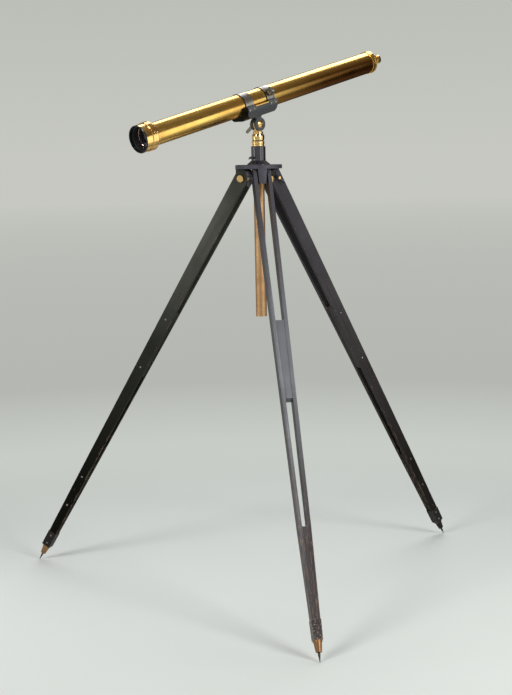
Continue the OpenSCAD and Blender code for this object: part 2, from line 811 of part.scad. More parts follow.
module azimuth_head() {
    color(BRASS) on_pivot() difference() {
        union() {
            translate([0, 0, -pivot_over_ring - ring_h / 2]) rotate_extrude() intersection() {
                translate([ring_r - ring_bulge, 0]) circle(r = ring_bulge);
                translate([0, -ring_h / 2]) square([2 * ring_r, ring_h]);
            }
            translate([0, 0, -pivot_over_ring]) rotate_extrude() neck_section();
            along_y(-tongue_t / 2, tongue_t / 2) {
                circle(r = tongue_r);
                translate([-tongue_neck / 2, -pivot_over_ring - 2])
                    square([tongue_neck, pivot_over_ring]);
            }
        }
        translate([0, 0, -pivot_over_ring - ring_h])
            rod_z(spindle_r + run_gap, -sink, ring_h - ring_roof);
        translate([0, 0, keeper_z - pivot_z]) rotate([0, 0, 90])
            rod_x(keeper_r + seat_gap, 0, big);
        rotate([0, 0, 90]) rod_x(pivot_r + run_gap, -big, big);
    }
}

module azimuth_keeper() {
    color(NICKEL) on_pivot() translate([0, 0, keeper_z - pivot_z]) rotate([0, 0, 90])
        difference() {
            rod_x(keeper_r, spindle_r - keeper_groove + slide_gap, ring_r - 1);
            translate([ring_r - 2, -keeper_r - sink, -keeper_r / 5])
                cube([3, 2 * keeper_r + 2 * sink, keeper_r / 2.5]);
        }
}

module cradle_section() {
    difference() {
        intersection() {
            translate([0, tube_rise - trough_drop]) circle(r = trough_r);
            translate([-cradle_half_w, tube_rise - trough_bottom])
                square([2 * cradle_half_w, trough_bottom - trough_rim]);
        }
        translate([0, tube_rise]) circle(r = liner_out + seat_gap);
    }
}

// Ear outline in Y and Z, with the pivot at the origin
module ear_outline() {
    under = tube_rise - trough_bottom;
    circle(r = ear_r);
    difference() {
        translate([0, -ear_neck / 2 - ear_fillet])
            square([under + sink, ear_neck + 2 * ear_fillet]);
        for (side = [-1, 1]) translate([under - ear_fillet, side * (ear_neck / 2 + ear_fillet)])
            circle(r = ear_fillet);
        translate([-sink, -big]) square([under - ear_fillet + sink, big - ear_neck / 2]);
        translate([-sink, ear_neck / 2]) square([under - ear_fillet + sink, big]);
    }
}

module strap_screw_holes() {
    for (at = [strap_front_at, strap_rear_at], dz = [-0.5, 0.5], side = [-1, 1])
        translate([side * cradle_half_w, rim_y - 6, at + dz * strap_screw_pitch])
            rotate([0, side * 90, 0]) children();
}

module cradle() {
    color(BLACK_IRON) on_cradle() difference() {
        union() {
            translate([0, 0, cradle_from]) linear_extrude(cradle_to - cradle_from)
                cradle_section();
            for (side = [-1, 1]) along_x(side < 0 ? -ear_out : ear_in, side < 0 ? -ear_in : ear_out)
                ear_outline();
        }
        rod_x(pivot_r + seat_gap, -big, big);
        strap_screw_holes() rod_z(strap_screw_r + seat_gap, -7, sink);
    }
}

module cradle_liner() {
    color(BRASS) on_cradle() translate([0, 0, cradle_from]) linear_extrude(cradle_to - cradle_from)
        difference() {
            union() {
                intersection() {
                    translate([0, tube_rise]) circle(r = liner_out);
                    translate([-big, 0]) square([2 * big, rim_y + liner_t]);
                }
                translate([-cradle_half_w, rim_y]) square([2 * cradle_half_w, liner_t]);
            }
            translate([0, tube_rise]) circle(r = liner_in);
        }
}

strap_in = tube_r + 0.2;
strap_out = strap_in + strap_t;
strap_y = rim_y + liner_t + seat_gap;
foot_x = cradle_half_w + seat_gap;

module strap(at) {
    color(NICKEL) difference() {
        translate([0, 0, at - strap_w / 2]) linear_extrude(strap_w) {
            difference() {
                translate([0, tube_rise]) circle(r = strap_out);
                translate([0, tube_rise]) circle(r = strap_in);
                translate([-big, -big]) square([2 * big, big + strap_y]);
            }
            for (side = [-1, 1]) {
                x0 = sqrt(strap_in * strap_in - (tube_rise - strap_y) * (tube_rise - strap_y));
                translate([side > 0 ? x0 + 0.5 : -foot_x - strap_t, strap_y])
                    square([foot_x + strap_t - x0 - 0.5, strap_t]);
                translate([side > 0 ? foot_x : -foot_x - strap_t, strap_y + strap_t - strap_foot])
                    square([strap_t, strap_foot]);
            }
        }
        strap_screw_holes() rod_z(strap_screw_r + seat_gap, 0, 10);
    }
}

module strap_rear() {
    color(NICKEL) on_cradle() difference() {
        union() {
            strap(strap_rear_at);
            difference() {
                at_thumb() rod_z(8, strap_in + strap_t / 2, thumb_seat - slide_gap);
                translate([0, tube_rise, 0]) rod_z(strap_in, -big, big);
            }
        }
        at_thumb() rod_z(thumb_r + run_gap, 0, big);
    }
}

// Axis of the strap's clamp screw, running out from the tube's axis on the near side
module at_thumb() {
    translate([0, tube_rise, strap_rear_at]) rotate([0, 0, 180 - thumb_angle])
        rotate([0, 90, 0]) children();
}

module strap_thumbscrew() {
    color(NICKEL) on_cradle() at_thumb() difference() {
        union() {
            rod_z(thumb_r, tube_r + slide_gap, thumb_seat + 1);
            rod_z(thumb_head_r, thumb_seat, thumb_seat + thumb_head_h);
        }
        translate([0, 0, thumb_seat + thumb_head_h]) rotate_extrude()
            polygon([[0, -2], [4, -2], [4.5, -thumb_head_h / 2], [thumb_head_r - 5, -thumb_head_h / 2],
                [thumb_head_r - 2.5, sink / 4], [0, sink / 4]]);
        for (k = [0:knurls - 1]) rotate([0, 0, k * 360 / knurls])
            translate([thumb_head_r + 0.35, 0, 0])
                rod_z(0.9, thumb_seat - sink, thumb_seat + thumb_head_h + sink);
    }
}

module strap_screws() {
    color(NICKEL) on_cradle() strap_screw_holes() {
        rod_z(strap_screw_r, -6.5, strap_t + 0.5);
        translate([0, 0, strap_t + 2 * seat_gap]) slotted_head(strap_screw_r * 2, 2);
    }
}

module pivot_bolt() {
    color(BRASS) on_cradle() {
        rod_x(pivot_r, -ear_out - sink, ear_out + tilt_hub_h + 3);
        translate([-ear_out, 0, 0]) rotate([0, -90, 0]) difference() {
            slotted_head(pivot_head_r, pivot_head_h);
            sleeve_z(pivot_head_r * 0.72, pivot_head_r * 0.6, pivot_head_h - 1, pivot_head_h + sink);
        }
    }
}

module tilt_wing_nut() {
    color(NICKEL) on_cradle() translate([ear_out + slide_gap, 0, 0]) rotate([0, 90, 0])
        rotate([0, 0, tilt_wing_turn])
            wing_nut(tilt_hub_r, tilt_hub_h, tilt_wing_reach, tilt_wing_end_r,
                tilt_wing_rise, tilt_wing_t, pivot_r + run_gap);
}

module main_tube() {
    color(BRASS) on_tube() sleeve_z(tube_r, tube_bore, tube_from, tube_to);
}

module tube_baffles() {
    color(BLACK_IRON) on_tube() for (share = [0.2, 0.45, 0.7]) {
        z = tube_from + share * (tube_to - tube_from);
        hole = aperture_r * (1 - 0.62 * share);
        sleeve_z(tube_bore - seat_gap, hole, z, z + baffle_t);
        sleeve_z(tube_bore - seat_gap, tube_bore - 1.2, z, z + 8);
    }
}

module objective_cell() {
    color(BRASS) on_tube() difference() {
        rotate_extrude() polygon([
            [0, barrel_z], [barrel_r - sink, barrel_z], [barrel_r, barrel_z + sink],
            [barrel_r, cell_z], [barrel_r - sink, cell_z], [barrel_r - sink, flange_z],
            [cell_r - edge, flange_z], [cell_r, flange_z + edge], [cell_r, flange_mid - sink],
            [cell_r - score, flange_mid - edge], [cell_r - score, flange_mid + edge],
            [cell_r, flange_mid + sink], [cell_r, cone_z - edge], [cell_r - edge, cone_z],
            [skirt_r, cone_end], [skirt_r, cone_end + 2], [skirt_r - score, cone_end + 2.4],
            [skirt_r - score, cone_end + 3.6], [skirt_r - edge, cone_end + 4],
            [skirt_r - edge, skirt_end - edge], [skirt_r - sink, skirt_end], [0, skirt_end]]);
        rod_z(barrel_r - barrel_wall, barrel_z - sink, ring_seat);
        rod_z(lens_r + seat_gap, ring_seat - sink, lens_seat);
        rod_z(aperture_r, lens_seat - sink, tube_from + sink);
        rod_z(tube_r + seat_gap, tube_from, skirt_end + sink);
    }
}

// Black ring that holds the lenses, with a short nose that reaches the crown lens
module front_ring() {
    ring_out = barrel_r - barrel_wall - seat_gap;
    ring_z0 = barrel_z + ring_recess;
    color(BLACK_IRON) on_tube() rotate_extrude() polygon([
        [ring_out, ring_seat - seat_gap], [ring_out, ring_z0 + edge], [ring_out - edge, ring_z0],
        [front_ring_in + edge, ring_z0], [front_ring_in, ring_z0 + edge],
        [lens_r - 2, ring_seat - sink], [lens_r - 2, crown_z - slide_gap],
        [lens_r - slide_gap, crown_z - slide_gap], [lens_r - slide_gap, ring_seat - seat_gap]]);
}

// Lens of radius r between z0 and z1 at its edge, with outward curves of radius ca and cb, or
// a flat or hollow face where the radius is 0 or less
module lens(r, z0, z1, ca, cb) {
    difference() {
        intersection() {
            rod_z(r, z0 - 3, z1 + 3);
            if (ca > 0) translate([0, 0, z0 + sqrt(ca * ca - r * r)]) sphere(r = ca, $fn = 256);
            if (cb > 0) translate([0, 0, z1 - sqrt(cb * cb - r * r)]) sphere(r = cb, $fn = 256);
            rod_z(r, ca > 0 ? z0 - 3 : z0, cb > 0 ? z1 + 3 : z1);
        }
        if (ca < 0) translate([0, 0, z0 - sqrt(ca * ca - r * r)]) sphere(r = -ca, $fn = 256);
    }
}

module crown_lens() {
    color(GLASS) on_tube() lens(lens_r, crown_z, crown_z + crown_edge - 0.2, lens_curve_r,
        lens_curve_r);
}

module flint_lens() {
    color(GLASS) on_tube() lens(lens_r, lens_seat - flint_edge, lens_seat - seat_gap,
        -lens_curve_r, 0);
}

module tail_cap() {
    color(BRASS) on_tube() difference() {
        rotate_extrude() polygon([[0, tube_to - tail_collar],
            [tube_r + tail_wall - 0.6, tube_to - tail_collar],
            [tube_r + tail_wall, tube_to - tail_collar + 0.6],
            [tube_r + tail_wall, tube_to - tail_collar + 4],
            [tube_r + tail_wall - 0.7, tube_to - tail_collar + 5],
            [tube_r + tail_wall - 0.7, tube_to - 5], [tube_r + tail_wall, tube_to - 4],
            [tube_r + tail_wall, tube_to], [tube_r - 2, tube_to + 3.5],
            [draw_r + 9, tube_to + 5.5], [draw_r + 6, tail_z], [0, tail_z]]);
        rod_z(tube_r + seat_gap, tube_to - tail_collar - sink, tube_to + seat_gap);
        rod_z(draw_r + sleeve_wall + seat_gap, tube_to - sink, tail_z + sink);
    }
}

module draw_sleeve() {
    color(BRASS) on_tube() difference() {
        union() {
            rod_z(draw_r + sleeve_wall, tail_z - sleeve_len, tail_z);
            rod_z(draw_r + 6, tube_to - 3, tube_to - seat_gap);
            rod_z(tube_bore - seat_gap, tail_z - sleeve_len, tail_z - sleeve_len + 3);
        }
        rod_z(draw_r + run_gap, tail_z - sleeve_len - sink, tail_z + sink);
    }
}

module draw_tube() {
    color(BRASS) on_tube()
        sleeve_z(draw_r, draw_r - draw_wall, tail_z - draw_len, eyepiece_z - 0.2);
}

module eyepiece_body() {
    bore = draw_r - draw_wall;
    color(BRASS) on_tube() difference() {
        rotate_extrude() polygon([[0, eyepiece_z - spigot], [bore - seat_gap, eyepiece_z - spigot],
            [bore - seat_gap, eyepiece_z], [eyepiece_flange_r - edge, eyepiece_z],
            [eyepiece_flange_r, eyepiece_z + edge], [eyepiece_flange_r, eyepiece_z + 4],
            [eyepiece_flange_r - sink, eyepiece_z + 5], [eyepiece_r, eyepiece_z + 5],
            [eyepiece_r, grip_z - 2], [eye_cap_r - sink, grip_z],
            [eye_cap_r - sink, eye_cap_z - edge], [eye_cap_r - 2 * sink, eye_cap_z],
            [eyepiece_r, eye_cap_z], [eyepiece_r, eyepiece_end - 5], [0, eyepiece_end - 5]]);
        rod_z(bore - 2.5, eyepiece_z - spigot + 4, eyepiece_end);
        rod_z(bore - 1.2, eyepiece_z - spigot - sink, eyepiece_z - spigot + 4 + seat_gap);
        for (k = [0:knurls - 1]) rotate([0, 0, k * 360 / knurls])
            translate([eye_cap_r - score, 0, 0]) rod_z(edge, grip_z + edge, eye_cap_z + sink / 2);
    }
}

module field_lens() {
    color(GLASS) on_tube() lens(draw_r - draw_wall - 1.25, eyepiece_z - spigot + 0.5,
        eyepiece_z - spigot + 3.3, 0, 26);
}

module eye_lens() {
    color(GLASS) on_tube() lens(draw_r - draw_wall - 2.55, eyepiece_end - 9,
        eyepiece_end - 5.2, 18, 0);
}

module eye_cap() {
    color(BLACK_IRON) on_tube() difference() {
        rotate_extrude() polygon([[0, eye_cap_z + seat_gap], [eye_cap_r, eye_cap_z + seat_gap],
            [eye_cap_r, eyepiece_end - sink], [eye_cap_r - sink, eyepiece_end],
            [eye_cap_r - 3, eyepiece_end], [eye_hole_r, eyepiece_end - 3], [0, eyepiece_end - 3]]);
        rod_z(eyepiece_r + seat_gap, eye_cap_z - sink, eyepiece_end - 5 + seat_gap);
        rod_z(eye_hole_r, eyepiece_end - 6, eyepiece_end);
    }
}

tripod_head();
socket();
flange_screws();
leg_bolts();
pillar_clamp_screw();
pillar_tube();
pillar_collar();
pillar_cap();
spindle();
thrust_washer();
azimuth_head();
azimuth_keeper();
cradle();
cradle_liner();
on_cradle() strap(strap_front_at);  // strap_front
strap_rear();
strap_screws();
pivot_bolt();
tilt_wing_nut();
strap_thumbscrew();
main_tube();
objective_cell();
front_ring();
crown_lens();
flint_lens();
tube_baffles();
tail_cap();
draw_sleeve();
draw_tube();
eyepiece_body();
field_lens();
eye_lens();
eye_cap();
for (i = [0:2]) {
    leg_wing_nut(i);
    on_leg(i) leg_rail(-1);
    on_leg(i) leg_rail(1);
    on_leg(i) leg_mid_block();
    on_leg(i) leg_foot_block();
    on_leg(i) leg_shoe();
    on_leg(i) leg_ferrule();
    on_leg(i) leg_spike();
    on_leg(i) leg_screws();
}
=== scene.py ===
import json
import math

import bpy
from mathutils import Matrix, Vector


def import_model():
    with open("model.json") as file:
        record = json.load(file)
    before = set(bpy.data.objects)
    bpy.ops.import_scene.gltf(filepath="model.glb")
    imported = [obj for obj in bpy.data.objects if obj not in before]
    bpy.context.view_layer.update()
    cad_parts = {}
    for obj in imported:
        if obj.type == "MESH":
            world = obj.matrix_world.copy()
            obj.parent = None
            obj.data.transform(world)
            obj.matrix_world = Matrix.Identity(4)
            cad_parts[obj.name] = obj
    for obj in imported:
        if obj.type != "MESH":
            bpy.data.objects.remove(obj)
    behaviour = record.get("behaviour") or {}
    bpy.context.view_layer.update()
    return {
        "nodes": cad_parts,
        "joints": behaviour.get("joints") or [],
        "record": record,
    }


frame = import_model()
nodes = frame["nodes"]
RECORD = frame["record"]
MOUNTS = {m["name"]: m for m in RECORD["mounts"]}
JOINTS = {j["name"]: j for j in frame["joints"]}

# Places that the CAD model fixes
PIVOT = Vector(JOINTS["tilt"]["pos_m"])
TUBE_DIR = Vector(JOINTS["focus"]["axis"]).normalized()
FAR_DIR = Vector(JOINTS["tilt"]["axis"]).normalized()
TUBE_UP = TUBE_DIR.cross(FAR_DIR).normalized()
if TUBE_UP.z < 0:
    TUBE_UP = -TUBE_UP
TUBE_RISE = (Vector(MOUNTS["eyepiece_rim"]["pos_m"]) - PIVOT).dot(TUBE_UP)
MAST = Vector((0.0, PIVOT.y, 0.0))
LEG_NAMES = ("front", "right", "left")

# Stretches of the telescope that are blackened, or darkened brown underneath as a painted dark
# reflection, in metres from the pivot along the tube, towards the eyepiece
TUBE_PAINTED_DARK_FROM = 0.03
TUBE_PAINTED_DARK_FADE = 0.30
CELL_LIP_ENDS = -0.5155
CELL_BLACK_ENDS = -0.486
# Radii in metres within which the tube and the objective's cell are black
TUBE_BLACK_RADIUS = 0.0372
CELL_BLACK_RADIUS = 0.0436
# Length in metres of the cradle's front end that is painted black as shade, at its rim, and how
# much more it has below
CRADLE_END = 0.012
CRADLE_END_BELOW = 0.03
# Angles in radians below the tube's near side between which that end grows longer
CRADLE_END_ANGLES = (-0.7, -1.3)

# Heights in metres below a leg's hinge, as places on its axis, between which its painted light and
# shade change; below the middle its wear grows too
TOP_TO_MIDDLE = (-0.2, -0.7)
MIDDLE_TO_FOOT = (-0.75, -1.3)
# Widths in metres of the wood's worn edges and of the rounding of its corners
WORN_EDGE = 0.0036
WOOD_ROUNDING = 0.0012

BRASS = (0.90, 0.60, 0.17)
BRASS_STAIN = (0.56, 0.29, 0.06)
# Painted dark reflection for the underside of the tube's tail
BRASS_PAINTED_DARK = (0.30, 0.115, 0.03)
BLACKENED = (0.012, 0.011, 0.011)
# Painted shade: black for the front end of the cradle
PAINTED_SHADE_BLACK = (0.008, 0.007, 0.007)
BARE_WOOD = ((0.15, 0.080, 0.040), (0.36, 0.24, 0.15))


def rows(x, y, z, origin):
    """Matrix whose columns are the given axes and origin."""
    return Matrix((
        (x.x, y.x, z.x, origin.x),
        (x.y, y.y, z.y, origin.y),
        (x.z, y.z, z.z, origin.z),
        (0, 0, 0, 1),
    ))


# Frame of the tube: Z along its axis towards the eyepiece, Y up, X to the far side
TUBE = rows(FAR_DIR, TUBE_UP, TUBE_DIR, PIVOT + TUBE_RISE * TUBE_UP)


def leg_frame(name):
    """Frame of a leg: Z up the leg, X along its bolt, origin on the hinge."""
    joint = JOINTS[name + "_leg_fold"]
    hinge = Vector(joint["pos_m"])
    foot = Vector(MOUNTS[name + "_foot"]["pos_m"])
    up = (hinge - foot).normalized()
    across = Vector(joint["axis"]).normalized()
    return rows(across, up.cross(across), up, hinge)


LEG = {name: leg_frame(name) for name in LEG_NAMES}


def scaled(tone, factor):
    """The same colour, lighter or darker by that factor."""
    return tuple(factor * c for c in tone)


def in_tube_frame(node):
    """The corners of a CAD node in the frame of the tube."""
    to_tube = TUBE.inverted() @ nodes[node].matrix_world
    return [to_tube @ v.co for v in nodes[node].data.vertices]


class Shader:
    """Short way to build a node material."""

    def __init__(self, name):
        self.mat = bpy.data.materials.new(name)
        self.mat.use_nodes = True
        self.tree = self.mat.node_tree
        self.tree.nodes.clear()
        self.out = self.add("ShaderNodeOutputMaterial")
        self.bsdf = self.add("ShaderNodeBsdfPrincipled")
        self.tree.links.new(self.bsdf.outputs[0], self.out.inputs[0])
        self.coord = self.add("ShaderNodeTexCoord").outputs["Object"]

    def add(self, kind, **props):
        made = self.tree.nodes.new(kind)
        for key, value in props.items():
            setattr(made, key, value)
        return made

    def link(self, source, target):
        self.tree.links.new(source, target)

    def set(self, **values):
        """Plain values on the shader's own sockets, with _ for a space in their names."""
        for key, value in values.items():
            name = key.replace("_", " ")
            self.bsdf.inputs[name].default_value = value

    def place(self, matrix, scale=(1, 1, 1)):
        """Coordinates in the frame of that matrix, stretched by scale."""
        inverse = matrix.inverted()
        turn = self.add("ShaderNodeMapping")
        turn.inputs["Location"].default_value = inverse.to_translation()
        turn.inputs["Rotation"].default_value = inverse.to_euler()
        self.link(self.coord, turn.inputs["Vector"])
        stretch = self.add("ShaderNodeMapping")
        stretch.inputs["Scale"].default_value = scale
        self.link(turn.outputs[0], stretch.inputs["Vector"])
        return stretch.outputs[0]

    def split(self, vector):
        """The X, Y and Z of a coordinate."""
        apart = self.add("ShaderNodeSeparateXYZ")
        self.link(vector, apart.inputs[0])
        return apart.outputs["X"], apart.outputs["Y"], apart.outputs["Z"]

    def noise(self, vector, scale, detail=4.0, rough=0.55, distort=0.0):
        made = self.add("ShaderNodeTexNoise")
        made.inputs["Scale"].default_value = scale
        made.inputs["Detail"].default_value = detail
        made.inputs["Roughness"].default_value = rough
        made.inputs["Distortion"].default_value = distort
        self.link(vector, made.inputs["Vector"])
        return made.outputs["Fac"]

    def spread(self, source, low, high, to_low=0.0, to_high=1.0):
        """Turns the range from low to high into the other one, and stops at its ends."""
        made = self.add("ShaderNodeMapRange")
        for key, value in zip(("From Min", "From Max", "To Min", "To Max"),
                              (low, high, to_low, to_high)):
            made.inputs[key].default_value = value
        self.link(source, made.inputs["Value"])
        return made.outputs["Result"]

    def math(self, op, a, b=None, clamp=False):
        made = self.add("ShaderNodeMath", operation=op, use_clamp=clamp)
        for socket, value in zip(made.inputs, (a, b)):
            if isinstance(value, (int, float)):
                socket.default_value = value
            elif value is not None:
                self.link(value, socket)
        return made.outputs[0]

    def mix(self, fac, a, b):
        """Colour a where fac is 0 and b where it is 1."""
        made = self.add("ShaderNodeMix", data_type="RGBA")
        for socket, value in ((made.inputs["Factor"], fac), (made.inputs[6], a),
                              (made.inputs[7], b)):
            if isinstance(value, tuple):
                socket.default_value = value if len(value) == 4 else value + (1,)
            elif isinstance(value, (int, float)):
                socket.default_value = value
            else:
                self.link(value, socket)
        return made.outputs[2]

    def dot(self, a, b):
        made = self.add("ShaderNodeVectorMath", operation="DOT_PRODUCT")
        self.link(a, made.inputs[0])
        if isinstance(b, Vector):
            made.inputs[1].default_value = b
        else:
            self.link(b, made.inputs[1])
        return made.outputs["Value"]

    def length(self, vector):
        made = self.add("ShaderNodeVectorMath", operation="LENGTH")
        self.link(vector, made.inputs[0])
        return made.outputs["Value"]

    def radius(self, x, y):
        """Distance from the axis of a point that lies x and y away from it."""
        across = self.add("ShaderNodeCombineXYZ")
        self.link(x, across.inputs["X"])
        self.link(y, across.inputs["Y"])
        return self.length(across.outputs[0])

    def angle(self, far, up):
        """Angle round the tube in radians: 0 at its near side, positive above it."""
        return self.math("ARCTAN2", up, self.math("MULTIPLY", far, -1.0))

    def edges(self, radius, low=0.02, high=0.2):
        """1 where an edge of the solid is nearer than the radius, else 0."""
        bevel = self.add("ShaderNodeBevel", samples=6)
        bevel.inputs["Radius"].default_value = radius
        flat = self.add("ShaderNodeNewGeometry").outputs["Normal"]
        away = self.math("SUBTRACT", 1.0, self.dot(bevel.outputs[0], flat))
        return self.spread(away, low, high)

    def facing(self, direction):
        """1 on the faces of the solid that look along that direction or against it, else 0."""
        normal = self.add("ShaderNodeTexCoord").outputs["Normal"]
        return self.spread(self.math("ABSOLUTE", self.dot(normal, direction)), 0.75, 0.95)

    def bump(self, height, strength, distance=0.001):
        made = self.add("ShaderNodeBump")
        made.inputs["Strength"].default_value = strength
        made.inputs["Distance"].default_value = distance
        self.link(height, made.inputs["Height"])
        self.link(made.outputs[0], self.bsdf.inputs["Normal"])

    def color(self, source):
        self.link(source, self.bsdf.inputs["Base Color"])

    def rough(self, source):
        self.link(source, self.bsdf.inputs["Roughness"])

    def tint(self):
        """What the base colour is so far."""
        return self.bsdf.inputs["Base Color"].links[0].from_socket

    def paint_shaded_end(self, before):
        """Painted shade: blackens what lies before that place on the tube's axis, and further back
        below.
        """
        tint = self.tint()
        far, up, along = self.split(self.place(TUBE))
        below = self.spread(self.angle(far, up), *CRADLE_END_ANGLES, 0.0, CRADLE_END_BELOW)
        in_shade = self.math("LESS_THAN", self.math("SUBTRACT", along, below), before)
        self.color(self.mix(in_shade, tint, PAINTED_SHADE_BLACK))
        metal = self.bsdf.inputs["Metallic"]
        if metal.is_linked:
            self.link(self.math("MAXIMUM", metal.links[0].from_socket, in_shade), metal)
        return self


def brass(name, tone=BRASS, stain=BRASS_STAIN, rough=(0.16, 0.34), edge_shade=None):
    """Brass with darker stains, uneven polish, fine scratches and, where asked, painted shade
    along edges.
    """
    s = Shader(name)
    s.set(Metallic=1.0)
    v = s.place(TUBE)
    clouds = s.noise(v, 9.0, 6.0, 0.6, 0.4)
    spots = s.noise(v, 70.0, 5.0, 0.65)
    stained = s.math("MULTIPLY", s.spread(clouds, 0.42, 0.68), 0.7)
    spotted = s.math("MULTIPLY", s.spread(spots, 0.60, 0.72), 0.55)
    tint = s.mix(s.math("MAXIMUM", stained, spotted), tone, stain)
    # Painted shade: the brass is darkened along its edges and grooves
    if edge_shade is not None:
        tint = s.mix(s.math("MULTIPLY", s.edges(edge_shade), 0.85), tint, scaled(stain, 0.18))
    s.color(tint)
    uneven = s.math("ADD", clouds, s.math("MULTIPLY", spots, 0.5))
    s.rough(s.spread(uneven, 0.45, 1.0, *rough))
    scratch = s.noise(s.place(TUBE, (80, 80, 4.8)), 6.0, 4.0, 0.6)
    s.bump(scratch, 0.02, 0.0004)
    return s


def tube_brass(name, stain, rough, bore, tone=BRASS, bore_ends=None, lip_ends=None,
               dark_reflection_start=None):
    """Brass of the tube: black inside, and where asked a black front lip and a painted dark
    reflection.
    """
    s = brass(name, tone, stain, rough)
    tint = s.tint()
    far, up, along = s.split(s.place(TUBE))
    # Painted dark reflection: browns the tube's underside from that place towards the tail
    if dark_reflection_start is not None:
        low = s.spread(s.angle(far, up), 0.15, 1.0, 1.0, 0.0)
        tail = s.spread(along, dark_reflection_start, dark_reflection_start + TUBE_PAINTED_DARK_FADE)
        reflection_darkening = s.math("MULTIPLY", tail, low, clamp=True)
        tint = s.mix(s.math("MULTIPLY", reflection_darkening, 0.9), tint, BRASS_PAINTED_DARK)
    black = s.math("LESS_THAN", s.radius(far, up), bore)
    if bore_ends is not None:
        black = s.math("MULTIPLY", black, s.math("LESS_THAN", along, bore_ends))
    if lip_ends is not None:
        black = s.math("MAXIMUM", black, s.math("LESS_THAN", along, lip_ends))
    s.color(s.mix(black, tint, BLACKENED))
    s.link(s.math("SUBTRACT", 1.0, black), s.bsdf.inputs["Metallic"])
    return s.mat


def worn_off(s, matrix, down, wear):
    """1 where the paint is rubbed or chipped off the wood, more of it towards the foot."""
    chip = s.noise(s.place(matrix, (110, 110, 30)), 1.0, 5.0, 0.7)
    likely = s.math("ADD", chip, s.math("MULTIPLY", down, 0.09 + 0.05 * wear))
    rubbed = s.math("MULTIPLY", s.edges(WORN_EDGE), s.spread(likely, 0.575, 0.64), clamp=True)
    speckle = s.noise(s.place(matrix, (210, 210, 45)), 1.0, 5.0, 0.65)
    likely = s.math("ADD", speckle, s.math("MULTIPLY", down, 0.10 * wear))
    flecks = s.math("MULTIPLY", s.spread(likely, 0.69, 0.75), 0.7)
    return s.math("MAXIMUM", rubbed, flecks, clamp=True)


def painted_wood(name, matrix, top, middle, foot, gloss, wear, side_shade):
    """Black paint over wood, painted light and shade along it and its sides, grain, bare brown
    wood where worn.
    """
    s = Shader(name)
    s.set(Specular_IOR_Level=gloss)
    v = s.place(matrix)
    along = s.split(v)[2]
    cloud = s.noise(v, 5.0, 4.0, 0.6)
    grain = s.noise(s.place(matrix, (60, 60, 4)), 1.0, 6.0, 0.6, 0.6)
    fibre = s.noise(s.place(matrix, (260, 260, 9)), 1.0, 3.0, 0.6)
    down = s.spread(along, *MIDDLE_TO_FOOT)
    side = s.facing(matrix.col[0].xyz)
    # Painted light and shade: tone from top to middle to foot, and painted shade on faces turned
    # along the bolt
    paint = s.mix(s.spread(along, *TOP_TO_MIDDLE), top, middle)
    paint = s.mix(down, paint, foot)
    paint = s.mix(s.math("MULTIPLY", side, side_shade), paint, scaled(foot, 0.3))
    paint = s.mix(s.spread(cloud, 0.35, 0.65, 0.0, 0.35), paint, scaled(foot, 1.5))
    paint = s.mix(s.spread(grain, 0.5, 0.75, 0.0, 0.35), paint, scaled(foot, 0.5))
    s.color(s.mix(worn_off(s, matrix, down, wear), paint, s.mix(fibre, *BARE_WOOD)))
    s.rough(s.spread(s.math("ADD", grain, cloud), 0.7, 1.3, 0.34, 0.55))
    height = s.math("ADD", s.math("MULTIPLY", grain, 0.6), s.math("MULTIPLY", fibre, 0.4))
    s.bump(height, 0.25, 0.0006)
    return s.mat


def painted_iron(name, tone, worn_to=(0.10, 0.085, 0.07), rough=0.42, wear=0.5, rub=0.0016,
                 gloss=0.35, shaded_before=None, flecks=None):
    """Black enamel on iron, rubbed along its edges, and where asked chipped on its faces."""
    s = Shader(name)
    s.set(Specular_IOR_Level=gloss)
    mottled = s.noise(s.coord, 60.0, 5.0, 0.6)
    chip = s.noise(s.coord, 190.0, 4.0, 0.65)
    chipped = s.spread(chip, 0.62 - 0.2 * wear, 0.68)
    worn = s.math("MULTIPLY", s.edges(rub), chipped, clamp=True)
    if flecks is not None:
        spots = s.spread(s.noise(s.coord, 210.0, 4.0, 0.6), flecks, flecks + 0.05)
        worn = s.math("MAXIMUM", worn, spots)
    s.color(s.mix(worn, s.mix(mottled, tone, scaled(tone, 2.0)), worn_to))
    s.rough(s.spread(mottled, 0.3, 0.7, rough - 0.08, rough + 0.12))
    s.link(s.math("MULTIPLY", worn, 0.8), s.bsdf.inputs["Metallic"])
    # Where asked, painted shade: black at the front end of the cradle
    if shaded_before is not None:
        s.paint_shaded_end(shaded_before)
    s.bump(s.noise(s.coord, 420.0, 3.0, 0.6), 0.12, 0.0004)
    return s.mat


def bright_metal(name, tone, stain, rough, metallic=1.0):
    """Plated or bare metal with tarnish."""
    s = Shader(name)
    s.set(Metallic=metallic)
    clouds = s.noise(s.coord, 36.0, 5.0, 0.6, 0.3)
    spots = s.noise(s.coord, 240.0, 4.0, 0.6)
    s.color(s.mix(s.spread(clouds, 0.40, 0.66), tone, stain))
    s.rough(s.spread(s.math("ADD", clouds, spots), 0.7, 1.3, rough - 0.07, rough + 0.14))
    s.bump(spots, 0.08, 0.0003)
    return s.mat


